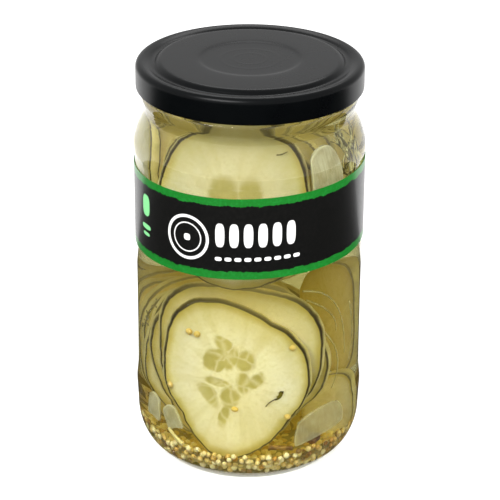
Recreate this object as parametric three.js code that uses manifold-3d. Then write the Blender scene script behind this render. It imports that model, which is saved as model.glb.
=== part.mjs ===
// A glass jar of pickled cucumber slices with a twist-off lid, standing on its base.
// Millimetres, +Z up, origin at the centre of the base. The jar's labelled front faces -Y.
import * as THREE from 'three';
import { mergeVertices } from 'three/addons/utils/BufferGeometryUtils.js';
import Module from 'manifold-3d';

const wasm = await Module();
wasm.setup();

// The jar
const BODY_RADIUS = 42.65;
const WALL = 2.6;
const SHOULDER_RADIUS = 43.2;
const HEEL_BEAD_RADIUS = 43.4;
const HEEL_BEAD_HEIGHT = 28.5;
const HEEL_RADIUS = 20.6;
const HEEL_TOE_RADIUS = 5;
const HEEL_TURN = 58;
const HEEL_WALL = 2.95;
const HEEL_CENTRE_RADIUS = BODY_RADIUS + 0.3 - HEEL_RADIUS;
const BASE_RING_INNER = 27.6;
const PUSH_UP = 2.4;
const PANEL_BOTTOM = 36;
const PANEL_TOP = 123.4;
const SHOULDER_TOP = 128.6;
const NECK_RADIUS = 38.9;
const NECK_HEIGHT = 139.9;
const COLLAR_RADIUS = 40.1;
const COLLAR_BOTTOM = 144.4;
const COLLAR_TOP = 147.1;
const FINISH_RADIUS = 38.6;
const BORE_RADIUS = 36;
const RIM_HEIGHT = 155.8;

// The lid
const LID_RADIUS = 42.05;
const LID_BOTTOM = 148.1;
const LID_TOP = 158.1;
const LID_METAL = 0.6;
const PANEL_RADIUS = 32.8;
const PANEL_HEIGHT = 158.6;
const BUTTON_RADIUS = 18;

// The label
const LABEL_BOTTOM = 89.4;
const LABEL_TOP = 120.9;
const LABEL_GAP = 0.3;
const LABEL_THICKNESS = 0.2;
const LABEL_SLOPE = 0.032;

// The contents
const ROUND_SIDES = 40;
const CLEARANCE = 0.4;
const SLICE_THICKNESS = 4.5;
const SLICE_SIDES = 20;
const SEED_RADIUS = 1.15;

const radians = THREE.MathUtils.degToRad;

function makeRandom(seed) {
  let state = seed;
  return () => {
    state = (state * 1664525 + 1013904223) % 4294967296;
    return state / 4294967296;
  };
}

function arc(centreR, centreZ, radius, from, to, steps) {
  const points = [];
  for (let i = 0; i <= steps; i++) {
    const angle = radians(from + (to - from) * i / steps);
    points.push([centreR + radius * Math.cos(angle), centreZ + radius * Math.sin(angle)]);
  }
  return points;
}

// Closed meshes share their corners and have no empty triangles.
function closedMesh(geometry) {
  geometry.deleteAttribute('normal');
  geometry.deleteAttribute('uv');
  const merged = mergeVertices(geometry, 1e-4);
  const index = merged.index.array;
  const kept = [];
  for (let i = 0; i < index.length; i += 3) {
    const [a, b, c] = [index[i], index[i + 1], index[i + 2]];
    if (a !== b && b !== c && c !== a) kept.push(a, b, c);
  }
  merged.setIndex(kept);
  return merged;
}

function toSolid(geometry) {
  const merged = closedMesh(geometry);
  return new wasm.Manifold(new wasm.Mesh({
    numProp: 3,
    vertProperties: Float32Array.from(merged.attributes.position.array),
    triVerts: Uint32Array.from(merged.index.array),
  }));
}

function toGeometry(solid) {
  const mesh = solid.getMesh();
  const geometry = new THREE.BufferGeometry();
  geometry.setAttribute('position', new THREE.BufferAttribute(mesh.vertProperties, 3));
  geometry.setIndex(new THREE.BufferAttribute(mesh.triVerts, 1));
  return geometry;
}

function joined(solids) {
  return solids.reduce((whole, solid) => whole.add(solid));
}

function part(name, geometry, color, roughness, metalness = 0) {
  const mesh = new THREE.Mesh(geometry, new THREE.MeshStandardMaterial({ color, roughness, metalness }));
  mesh.name = name;
  return mesh;
}

// A profile of [radius, height] points, turned about the jar's axis.
function turned(profile, sides = ROUND_SIDES) {
  const points = profile.map(([r, z]) => new THREE.Vector2(r, z));
  return closedMesh(new THREE.LatheGeometry(points, sides).rotateX(Math.PI / 2));
}

// The heel is one wide arc that ends in a tight one on the base ring.
function heelArc(outward) {
  const turn = radians(HEEL_TURN);
  const inner = HEEL_RADIUS - HEEL_TOE_RADIUS;
  const toeR = HEEL_CENTRE_RADIUS + inner * Math.cos(turn);
  const centreZ = inner * Math.sin(turn) + HEEL_TOE_RADIUS;
  const toe = arc(toeR, HEEL_TOE_RADIUS, HEEL_TOE_RADIUS - outward, -90, -HEEL_TURN, 2);
  return [...toe, ...arc(HEEL_CENTRE_RADIUS, centreZ, HEEL_RADIUS - outward, -HEEL_TURN, 0, 4).slice(1)];
}

// Inside of the glass, from the floor's centre up to the bore. An extra gap shrinks it.
function innerWall(gap = 0) {
  const wallR = BODY_RADIUS - WALL - gap;
  const heel = heelArc(HEEL_WALL + gap).filter(([r]) => r > BASE_RING_INNER + 3);
  return [
    [0, PUSH_UP + WALL + 0.4 + gap],
    [18, PUSH_UP + WALL + gap],
    [26, PUSH_UP + WALL - 0.7 + gap],
    ...heel,
    [wallR, HEEL_BEAD_HEIGHT],
    [wallR, SHOULDER_TOP - 2],
    [wallR - 0.7, SHOULDER_TOP + 2],
    [wallR - 2, SHOULDER_TOP + 5.6],
    [NECK_RADIUS - WALL + 0.4 - gap, NECK_HEIGHT - 1.4],
    [BORE_RADIUS - gap, NECK_HEIGHT + 2.4],
  ];
}

function makeJar() {
  const outer = [
    [0, PUSH_UP],
    [20, PUSH_UP - 0.6],
    [BASE_RING_INNER - 1.2, 0.8],
    [BASE_RING_INNER, 0],
    ...heelArc(0),
    [HEEL_BEAD_RADIUS - 0.15, HEEL_BEAD_HEIGHT - 3],
    [HEEL_BEAD_RADIUS, HEEL_BEAD_HEIGHT],
    [HEEL_BEAD_RADIUS - 0.25, HEEL_BEAD_HEIGHT + 3],
    [BODY_RADIUS, PANEL_BOTTOM],
    [BODY_RADIUS, PANEL_TOP],
    [SHOULDER_RADIUS, PANEL_TOP + 1],
    [SHOULDER_RADIUS, SHOULDER_TOP - 1],
    [SHOULDER_RADIUS - 0.7, SHOULDER_TOP + 1.6],
    [SHOULDER_RADIUS - 1.7, SHOULDER_TOP + 4.6],
    [SHOULDER_RADIUS - 3.2, SHOULDER_TOP + 7.8],
    [NECK_RADIUS + 0.3, NECK_HEIGHT - 1.4],
    [NECK_RADIUS, NECK_HEIGHT],
    [NECK_RADIUS + 0.4, COLLAR_BOTTOM - 2],
    [COLLAR_RADIUS, COLLAR_BOTTOM],
    [COLLAR_RADIUS, COLLAR_TOP - 0.5],
    [COLLAR_RADIUS - 0.6, COLLAR_TOP],
    [FINISH_RADIUS, COLLAR_TOP + 0.6],
    [FINISH_RADIUS, RIM_HEIGHT - 1.2],
    [FINISH_RADIUS - 0.7, RIM_HEIGHT],
    [BORE_RADIUS + 0.6, RIM_HEIGHT],
    [BORE_RADIUS, RIM_HEIGHT - 0.8],
  ];
  return turned([...outer, ...innerWall().reverse()]);
}

function makeLid() {
  const corner = 2.2;
  const top = [
    [0, PANEL_HEIGHT - 0.35],
    [BUTTON_RADIUS, PANEL_HEIGHT - 0.35],
    [BUTTON_RADIUS + 1.2, PANEL_HEIGHT],
    [PANEL_RADIUS, PANEL_HEIGHT],
    [PANEL_RADIUS + 1.4, PANEL_HEIGHT - 0.6],
    [PANEL_RADIUS + 2.4, LID_TOP - 1.2],
    [PANEL_RADIUS + 4, LID_TOP - 1.1],
    [LID_RADIUS - corner - 0.4, LID_TOP],
  ];
  const side = [
    ...arc(LID_RADIUS - corner, LID_TOP - corner, corner, 80, 0, 4),
    [LID_RADIUS, LID_BOTTOM + 1.2],
    [LID_RADIUS - 0.35, LID_BOTTOM + 0.35],
    [LID_RADIUS - 1, LID_BOTTOM],
    [LID_RADIUS - 1.65, LID_BOTTOM + 0.35],
    [LID_RADIUS - 1.65, LID_BOTTOM + 1.4],
    [LID_RADIUS - LID_METAL, LID_BOTTOM + 1.9],
    [LID_RADIUS - LID_METAL, LID_TOP - corner],
    [LID_RADIUS - corner, LID_TOP - LID_METAL - 0.15],
  ];
  const under = [
    [PANEL_RADIUS + 4, LID_TOP - 1.1 - LID_METAL],
    [PANEL_RADIUS + 2.4, LID_TOP - 1.2 - LID_METAL],
    [PANEL_RADIUS, PANEL_HEIGHT - LID_METAL - 0.4],
    [0, PANEL_HEIGHT - LID_METAL - 0.5],
  ];
  return turned([...top, ...side, ...under].reverse());
}

// The band is level in itself but sits a little askew, higher at +X.
function makeLabel() {
  const inner = BODY_RADIUS + LABEL_GAP;
  const outer = inner + LABEL_THICKNESS;
  const geometry = turned([
    [inner, LABEL_BOTTOM],
    [outer, LABEL_BOTTOM],
    [outer, LABEL_TOP],
    [inner, LABEL_TOP],
    [inner, LABEL_BOTTOM],
  ]);
  const position = geometry.attributes.position;
  for (let i = 0; i < position.count; i++) {
    position.setZ(i, position.getZ(i) + LABEL_SLOPE * position.getX(i));
  }
  return geometry;
}

// A slice's edge is a circle with a few waves: [waves round the edge, share of the radius, angle].
function sliceRadius(slice, angle) {
  const waves = slice.waves.map(([count, share, at]) => share * Math.cos(count * angle - radians(at)));
  return slice.radius * waves.reduce((sum, wave) => sum + wave, 1);
}

function sliceShape(slice) {
  const corners = [];
  for (let i = 0; i < SLICE_SIDES; i++) {
    const angle = 2 * Math.PI * i / SLICE_SIDES;
    const r = sliceRadius(slice, angle);
    corners.push(new THREE.Vector2(r * Math.cos(angle), r * Math.sin(angle)));
  }
  return new THREE.Shape(corners);
}

// A slice stands on its edge, facing -Y before it is turned by its yaw.
function sliceSolid(slice) {
  const settings = { depth: SLICE_THICKNESS, bevelEnabled: false };
  const geometry = new THREE.ExtrudeGeometry(sliceShape(slice), settings);
  geometry.translate(0, 0, -SLICE_THICKNESS / 2);
  geometry.rotateX(Math.PI / 2);
  geometry.rotateZ(radians(slice.yaw));
  geometry.translate(slice.x, slice.y, slice.z);
  return toSolid(geometry);
}

function nearSlice(slice, x, y, z, margin) {
  const yaw = radians(slice.yaw);
  const along = (x - slice.x) * Math.cos(yaw) + (y - slice.y) * Math.sin(yaw);
  const through = (y - slice.y) * Math.cos(yaw) - (x - slice.x) * Math.sin(yaw);
  const up = z - slice.z;
  const reach = sliceRadius(slice, Math.atan2(up, along)) + margin;
  return Math.abs(through) < SLICE_THICKNESS / 2 + margin && Math.hypot(along, up) < reach;
}

// The slices at the front of each row have waves of their own, the others common ones.
const LOWER_FRONT_WAVES = [
  [[1, 0.057, 120], [2, 0.11, -157], [3, 0.069, 41], [4, 0.037, 33], [5, 0.028, -132]],
  [[2, 0.03, -30], [3, 0.028, 17], [4, 0.042, 170]],
  [[2, 0.061, 154], [3, 0.027, 101], [4, 0.057, -51], [5, 0.015, -1]],
];
const UPPER_FRONT_WAVES = [
  [[2, 0.07, 180], [3, 0.03, -122], [5, 0.02, -104]],
  [[1, 0.05, -65], [2, 0.1, 150], [3, 0.03, 20], [4, 0.02, 60]],
];

function commonWaves(random) {
  return [
    [2, 0.09 + 0.04 * random(), 180 + 30 * (random() - 0.5)],
    [3, 0.01 + 0.03 * random(), 360 * random()],
    [4, 0.01 + 0.02 * random(), 360 * random()],
    [5, 0.005 + 0.015 * random(), 360 * random()],
  ];
}

// Two rows of upright slices, one above the other, each from the front of the jar to its back.
function makeSlices() {
  const random = makeRandom(11);
  const count = 11;
  const front = -27;
  const pitch = 5.4;
  const lowerX = [-4.3, -3, -3, -9.4, -8.8, -9.4, -8.6, -9.2, -9, -9.4, -7.6];
  const lowerZ = [42.4, 52.4, 45.2, 44.2, 42.8, 43.6, 43.1, 44.3, 42.5, 43.6, 42.8];
  const lowerRadius = [28.5, 29.2, 31.4, 28.6, 28.6, 28.6, 28.6, 28, 27.4, 26.4, 24.6];
  const upperX = [-4.9, 3, -2.2, 3.4, -7.4, 5.1, -4.2, 3.2, -6, 1.8, -2.6];
  const upperZ = [112.4, 108.4, 112.6, 111.2, 112.4, 110.9, 112.2, 111, 112.6, 111.4, 112];
  const upperRadius = [30.2, 24.4, 29.6, 29.6, 29.6, 29.6, 29.6, 29.6, 29.6, 28.6, 28.6];
  const frontTurn = -8.5;
  const slices = [];
  for (let i = 0; i < count; i++) {
    const y = front + pitch * i;
    const lowerYaw = -5 + 3 * (random() - 0.5);
    const upperYaw = i === 0 ? frontTurn : -6 + 3 * (random() - 0.5);
    const lowerWaves = LOWER_FRONT_WAVES[i] ?? commonWaves(random);
    const upperWaves = UPPER_FRONT_WAVES[i] ?? commonWaves(random);
    slices.push({ x: lowerX[i], y, z: lowerZ[i], yaw: lowerYaw, radius: lowerRadius[i], waves: lowerWaves });
    slices.push({ x: upperX[i], y, z: upperZ[i], yaw: upperYaw, radius: upperRadius[i], waves: upperWaves });
  }
  const sideWaves = commonWaves(random);
  slices.push({ x: 23, y: 13.5, z: 52, yaw: -50, radius: 20, waves: [[2, 0.2, 180], ...sideWaves.slice(1)] });
  slices.push({ x: -32.6, y: 2, z: 113, yaw: 96, radius: 22, waves: [[2, 0.2, 180], ...sideWaves.slice(1)] });
  return slices;
}

function cavity() {
  const wall = innerWall(CLEARANCE);
  const [topR] = wall[wall.length - 1];
  return toSolid(turned([...wall, [topR, COLLAR_TOP], [0, COLLAR_TOP]]));
}

// The middle of a row, hidden between its slices, carries them.
function rowCore(z, height) {
  const core = new THREE.CylinderGeometry(17, 17, 52, 10);
  core.scale(1, 1, height / 34);
  core.translate(0, 0, z);
  return toSolid(core);
}

function seedSolid(x, y, z) {
  return toSolid(new THREE.IcosahedronGeometry(SEED_RADIUS, 0).translate(x, y, z));
}

// A few seeds have stuck to the face of the lower front slice, each at an x and a height.
const FACE_SEEDS = [[-20.5, 62], [-17.6, 61.2], [-28.2, 38.4], [-4.6, 30.6], [15.3, 57.2], [13.8, 27.6]];

function makeSliceHeap(slices) {
  const [face] = slices;
  const yaw = radians(face.yaw);
  const stuck = FACE_SEEDS.map(([x, z]) => {
    const y = face.y + (x - face.x) * Math.tan(yaw) - SLICE_THICKNESS / 2 / Math.cos(yaw) - 0.3;
    return seedSolid(x, y, z);
  });
  const between = toSolid(new THREE.BoxGeometry(24, 44, 30).translate(0, 0, 78));
  const cores = [rowCore(43.5, 50), rowCore(111.8, 50), between];
  return toGeometry(joined([...cores, ...slices.map(sliceSolid), ...stuck]).intersect(cavity()));
}

// Seeds have sunk to the floor and lie deepest along the wall. Each row of seeds runs round the
// jar at a radius and a height, so the rows together give the bed its section.
function makeSeeds(slices) {
  const random = makeRandom(5);
  const floor = PUSH_UP + WALL + CLEARANCE;
  const alongHeel = HEEL_RADIUS - HEEL_WALL - CLEARANCE - SEED_RADIUS - 0.5;
  const [low, middle, high] = arc(HEEL_CENTRE_RADIUS, HEEL_RADIUS - 2.4, alongHeel, -50, -25, 2);
  const rows = [
    { at: low, gap: 14 },
    { at: middle, gap: 10.2 },
    { at: high, gap: 10.2 },
    { at: [33.6, floor + 4.8], gap: 18 },
    { at: [28, floor + 2.1], gap: 36 },
  ];
  const top = [[18, floor + 1.5], [0, floor + 1.3]];
  const section = [[0, floor + 0.8], [25, floor], ...rows.map((row) => row.at), ...top];
  const solids = [toSolid(turned(section, ROUND_SIDES / 2))];
  for (const row of rows) {
    const count = Math.round(2 * Math.PI * row.at[0] / row.gap);
    for (let i = 0; i < count; i++) {
      const turn = 2 * Math.PI * (i + 0.4 * random()) / count;
      const r = row.at[0] - 0.4 * random();
      const [x, y, z] = [r * Math.cos(turn), r * Math.sin(turn), row.at[1] + 0.5 * random()];
      const blocked = slices.some((slice) => nearSlice(slice, x, y, z, SEED_RADIUS + CLEARANCE));
      if (!blocked) solids.push(seedSolid(x, y, z));
    }
  }
  return toGeometry(joined(solids));
}

// A piece of onion layer: a thin plate bent round an upright axis, its edges wavy.
function onionPiece({ azimuth, height, wide, tall, bend, lean, inward, tilt = 0, thickness = 1.3 }) {
  const across = 6;
  const up = 3;
  const corners = [];
  for (const side of [1, -1]) {
    for (let j = 0; j <= up; j++) {
      for (let i = 0; i <= across; i++) {
        const s = i / across - 0.5;
        const t = j / up - 0.5;
        const edge = 1 + 0.12 * Math.sin(5 * s + 3 * t) - 0.5 * Math.pow(Math.abs(2 * s * t), 2);
        const turn = s * wide * edge / bend;
        const r = bend + side * thickness / 2;
        corners.push(r * Math.sin(turn), -(r * Math.cos(turn) - bend), t * tall * edge);
      }
    }
  }
  const row = across + 1;
  const layer = row * (up + 1);
  const index = [];
  const quad = (a, b, c, d) => index.push(a, b, c, a, c, d);
  for (let j = 0; j < up; j++) {
    for (let i = 0; i < across; i++) {
      const a = j * row + i;
      quad(a, a + 1, a + 1 + row, a + row);
      quad(layer + a, layer + a + row, layer + a + 1 + row, layer + a + 1);
    }
  }
  const rim = [];
  for (let i = 0; i < across; i++) rim.push(i);
  for (let j = 0; j < up; j++) rim.push(j * row + across);
  for (let i = across; i > 0; i--) rim.push(up * row + i);
  for (let j = up; j > 0; j--) rim.push(j * row);
  rim.forEach((a, i) => {
    const b = rim[(i + 1) % rim.length];
    quad(b, a, layer + a, layer + b);
  });
  const geometry = new THREE.BufferGeometry();
  geometry.setAttribute('position', new THREE.Float32BufferAttribute(corners, 3));
  geometry.setIndex(index);
  geometry.rotateY(radians(lean));
  geometry.rotateX(radians(-tilt));
  const outward = BODY_RADIUS - WALL - CLEARANCE - thickness / 2 - inward;
  geometry.translate(0, -outward, 0);
  geometry.rotateZ(radians(azimuth));
  geometry.translate(0, 0, height);
  return geometry;
}

// A round stalk along a smooth curve through its points.
function stalk(points, radius, steps, sides = 6) {
  const ring = [];
  for (let i = 0; i < sides; i++) {
    const angle = 2 * Math.PI * i / sides;
    ring.push(new THREE.Vector2(radius * Math.cos(angle), radius * Math.sin(angle)));
  }
  const path = new THREE.CatmullRomCurve3(points.map((point) => new THREE.Vector3(...point)));
  return new THREE.ExtrudeGeometry(new THREE.Shape(ring), { steps, extrudePath: path, bevelEnabled: false });
}

// A sprig of dill against the wall: a stem with thin branches that fan out and up.
function makeDill() {
  const random = makeRandom(23);
  const wallR = BODY_RADIUS - WALL - 2.6;
  const onWall = (azimuth, z, inward) => {
    const r = wallR - inward;
    return [r * Math.sin(radians(azimuth)), -r * Math.cos(radians(azimuth)), z];
  };
  const stem = [onWall(71, 106, 1.4), onWall(67, 120, 1), onWall(63, 135, 3)];
  const solids = [toSolid(stalk(stem, 0.9, 7))];
  for (let i = 0; i < 8; i++) {
    const side = i % 2 === 0 ? 1 : -1;
    const root = 109 + 3 * i;
    const azimuth = 71 - 0.28 * (root - 106);
    const spread = side * (7 + 5 * random());
    const rise = 6 + 3 * random();
    const points = [
      onWall(azimuth, root, 1.2),
      onWall(azimuth + spread * 0.5, root + rise * 0.5, 0.9),
      onWall(azimuth + spread, Math.min(root + rise, 137), 0.6 + i * 0.3),
    ];
    solids.push(toSolid(stalk(points, 0.55, 3, 5)));
  }
  return toGeometry(joined(solids).intersect(cavity()));
}

function makeSpice() {
  const geometry = new THREE.IcosahedronGeometry(2.4, 1);
  const position = geometry.attributes.position;
  for (let i = 0; i < position.count; i++) {
    const [x, y, z] = [position.getX(i), position.getY(i), position.getZ(i)];
    const dent = 1 - 0.1 * Math.cos(2.2 * x + 1) * Math.cos(1.7 * z);
    position.setXYZ(i, x * dent * 1.25, y * dent * 0.8, z * dent);
  }
  geometry.rotateZ(radians(40));
  geometry.translate(22.9, -25.8, 15.9);
  return closedMesh(geometry);
}

const slices = makeSlices();
const onions = {
  onion_left_upper: { azimuth: -62, height: 24.4, wide: 7.5, tall: 9.5, bend: 22, lean: 4, inward: 1.2 },
  onion_left_lower: { azimuth: -47, height: 23.4, wide: 7.5, tall: 8.6, bend: 20, lean: -28, inward: 2.2 },
  onion_right: { azimuth: 43, height: 22.8, wide: 23, tall: 11, bend: 33, lean: -8, inward: 1.4 },
  onion_top: { azimuth: 44, height: 124.8, wide: 13.5, tall: 18, bend: 34, lean: -10, inward: 1.4, tilt: 5 },
};

const jar = new THREE.Group();
jar.add(part('glass_jar', makeJar(), 0xdfe6dc, 0.05));
jar.add(part('lid', makeLid(), 0x15191a, 0.3, 0.4));
jar.add(part('label', makeLabel(), 0x1f1f1d, 0.5));
jar.add(part('cucumber_slices', makeSliceHeap(slices), 0xd6cf8c, 0.5));
jar.add(part('mustard_seeds', makeSeeds(slices), 0xd9bd7c, 0.5));
for (const [name, onion] of Object.entries(onions)) {
  jar.add(part(name, onionPiece(onion), 0xc9c6a8, 0.4));
}
jar.add(part('dill_sprig', makeDill(), 0x6f6a2a, 0.6));
const leftStalk = [[-28.6, -25.8, 19.2], [-26.2, -28, 16.6], [-23.8, -29.4, 14.6]];
const frontStalk = [[7.4, -34.6, 16.6], [11.6, -33.6, 15.8], [15.6, -31.9, 14.8]];
jar.add(part('stalk_left', closedMesh(stalk(leftStalk, 0.9, 5)), 0xb9ac62, 0.5));
jar.add(part('stalk_front', closedMesh(stalk(frontStalk, 1.1, 5)), 0x7a5a22, 0.5));
jar.add(part('spice_piece', makeSpice(), 0x6b3f1d, 0.5));

export default jar;
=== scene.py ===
import math
import random

import bpy
from mathutils import Matrix, Vector, noise


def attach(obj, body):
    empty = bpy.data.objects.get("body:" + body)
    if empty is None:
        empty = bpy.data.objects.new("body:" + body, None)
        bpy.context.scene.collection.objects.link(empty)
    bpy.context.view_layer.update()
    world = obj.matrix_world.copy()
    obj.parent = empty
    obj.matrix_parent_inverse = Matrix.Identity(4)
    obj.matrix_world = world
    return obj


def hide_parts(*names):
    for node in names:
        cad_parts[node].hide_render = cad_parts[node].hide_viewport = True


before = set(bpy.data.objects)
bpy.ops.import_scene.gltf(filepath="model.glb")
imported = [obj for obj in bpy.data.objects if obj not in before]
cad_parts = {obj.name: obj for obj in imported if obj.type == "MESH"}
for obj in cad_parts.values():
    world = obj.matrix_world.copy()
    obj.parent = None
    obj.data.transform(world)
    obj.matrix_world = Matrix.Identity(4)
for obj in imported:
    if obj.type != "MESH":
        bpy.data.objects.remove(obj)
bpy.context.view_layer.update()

# Glass jar
# A clear moulded jar: a push-up base on a narrow ring, a wide round heel with a bead over it, a
# recessed label panel, a shoulder, and a neck with the collar that the lid's rim sits over.
# It was blown in a two-part mould, so it has two faint seams and a slightly wavy wall.

MM = 0.001
ROUND = 160
WALL = 2.6
BODY_RADIUS = 42.65
SHOULDER_RADIUS = 43.2
HEEL_BEAD_RADIUS = 43.4
HEEL_BEAD_HEIGHT = 28.5
HEEL_RADIUS = 20.6
HEEL_TOE_RADIUS = 5
HEEL_TURN = 58
HEEL_WALL = 2.95
HEEL_SWELL = 0.3
HEEL_CENTRE_RADIUS = BODY_RADIUS + HEEL_SWELL - HEEL_RADIUS
HEEL_INNER = HEEL_RADIUS - HEEL_TOE_RADIUS
HEEL_CENTRE_HEIGHT = HEEL_INNER * math.sin(math.radians(HEEL_TURN)) + HEEL_TOE_RADIUS
BASE_RING_INNER = 27.6
FLOOR_RADIUS = 30
PUSH_UP = 2.4
PANEL_BOTTOM = 36
PANEL_TOP = 123.4
SHOULDER_TOP = 128.6
NECK_RADIUS = 38.9
NECK_HEIGHT = 139.9
COLLAR_RADIUS = 40.1
COLLAR_BOTTOM = 144.4
COLLAR_TOP = 147.1
FINISH_RADIUS = 38.6
BORE_RADIUS = 36
RIM_HEIGHT = 155.8
BRINE_LEVEL = 147.4
GLASS_TINT = (0.968, 0.986, 0.958, 1)
# Mould lines on the shoulder: height and half width.
MOULD_LINES = [(137.4, 0.5), (142, 0.4)]


def arc(centre_r, centre_z, radius, start, end, steps):
    turns = [math.radians(start + (end - start) * i / steps) for i in range(steps + 1)]
    return [(centre_r + radius * math.cos(a), centre_z + radius * math.sin(a)) for a in turns]


def heel_arc(inset):
    """The round heel's line, from the base ring up to the wall, inset by a distance."""
    toe_r = HEEL_CENTRE_RADIUS + HEEL_INNER * math.cos(math.radians(HEEL_TURN))
    toe = arc(toe_r, HEEL_TOE_RADIUS, HEEL_TOE_RADIUS - inset, -90, -HEEL_TURN, 6)
    return toe + arc(HEEL_CENTRE_RADIUS, HEEL_CENTRE_HEIGHT, HEEL_RADIUS - inset, -HEEL_TURN, 0, 14)[1:]


def inner_line(gap=0):
    """The inside of the glass, from the middle of the floor up to the bore."""
    wall_r = BODY_RADIUS - WALL - gap
    heel = [p for p in heel_arc(HEEL_WALL + gap) if p[0] > BASE_RING_INNER + 3]
    return [
        (0, PUSH_UP + WALL + 0.4 + gap),
        (18, PUSH_UP + WALL + gap),
        (26, PUSH_UP + WALL - 0.7 + gap),
        *heel,
        (wall_r, HEEL_BEAD_HEIGHT),
        (wall_r, SHOULDER_TOP - 2),
        (wall_r - 0.7, SHOULDER_TOP + 2),
        (wall_r - 2, SHOULDER_TOP + 5.6),
        (NECK_RADIUS - WALL + 0.4 - gap, NECK_HEIGHT - 1.4),
        (BORE_RADIUS - gap, NECK_HEIGHT + 2.4),
    ]


def wall_radius(height, gap):
    """How far from the axis something inside may reach at a height."""
    line = [p for p in inner_line(gap) if p[0] > BASE_RING_INNER]
    if height <= line[0][1]:
        return line[0][0]
    for (r0, z0), (r1, z1) in zip(line, line[1:]):
        if z0 <= height <= z1 and z1 > z0:
            return r0 + (r1 - r0) * (height - z0) / (z1 - z0)
    return line[-1][0]


def softened(line, rounds=2):
    """The line with its corners cut to gentle curves, its ends kept."""
    for _ in range(rounds):
        cut = [line[0]]
        for (r0, z0), (r1, z1) in zip(line, line[1:]):
            cut.append((0.75 * r0 + 0.25 * r1, 0.75 * z0 + 0.25 * z1))
            cut.append((0.25 * r0 + 0.75 * r1, 0.25 * z0 + 0.75 * z1))
        line = cut + [line[-1]]
    return line


def clear_selection():
    bpy.ops.object.select_all(action="DESELECT")


def pick(piece):
    clear_selection()
    piece.select_set(True)
    bpy.context.view_layer.objects.active = piece


def leave_editing():
    """Turns every face outwards and goes back to object mode."""
    bpy.ops.mesh.select_all(action="SELECT")
    bpy.ops.mesh.normals_make_consistent(inside=False)
    bpy.ops.object.mode_set(mode="OBJECT")


def spun(name, line, steps=ROUND):
    """A line of (radius, height) points in millimetres, drawn by extruding and spun about the axis."""
    points = [Vector((r * MM, 0, z * MM)) for r, z in line]
    clear_selection()
    bpy.ops.mesh.primitive_plane_add(size=MM, location=points[0])
    piece = bpy.context.object
    piece.name = name
    bpy.ops.object.transform_apply(location=True, rotation=True, scale=True)
    bpy.ops.object.mode_set(mode="EDIT")
    bpy.ops.mesh.select_all(action="SELECT")
    bpy.ops.mesh.merge(type="CENTER")
    for here, after in zip(points, points[1:]):
        bpy.ops.mesh.extrude_vertices_move(TRANSFORM_OT_translate={"value": after - here})
    bpy.ops.mesh.select_all(action="SELECT")
    bpy.ops.mesh.spin(steps=steps, angle=2 * math.pi, center=(0, 0, 0), axis=(0, 0, 1))
    bpy.ops.mesh.select_all(action="SELECT")
    bpy.ops.mesh.remove_doubles(threshold=2e-6)
    leave_editing()
    return piece


def smooth(piece, angle):
    pick(piece)
    bpy.ops.object.shade_smooth_by_angle(angle=math.radians(angle))


class Field:
    """A number, colour or vector that varies over a surface. Maths on it adds Math nodes."""

    def __init__(self, finish, socket):
        self.finish = finish
        self.socket = socket

    def maths(self, operation, *values):
        return self.finish.node("ShaderNodeMath", {"operation": operation}, values)

    def __add__(self, other):
        return self.maths("ADD", self, other)

    def __sub__(self, other):
        return self.maths("SUBTRACT", self, other)

    def __rsub__(self, other):
        return self.maths("SUBTRACT", other, self)

    def __mul__(self, other):
        return self.maths("MULTIPLY", self, other)

    def __truediv__(self, other):
        return self.maths("DIVIDE", self, other)

    def __pow__(self, other):
        return self.maths("POWER", self, other)

    def __abs__(self):
        return self.maths("ABSOLUTE", self)

    __radd__ = __add__
    __rmul__ = __mul__

    def either(self, other):
        """The greater of the two at each place."""
        return self.maths("MAXIMUM", self, other)

    def fade(self, low, high):
        """0 below low and 1 above high, or the other way round where low is above high."""
        if low > high:
            return 1 - self.fade(high, low)
        settings = {"interpolation_type": "SMOOTHSTEP"}
        sockets = {"Value": self, "From Min": low, "From Max": high}
        return self.finish.node("ShaderNodeMapRange", settings, sockets)


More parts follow.
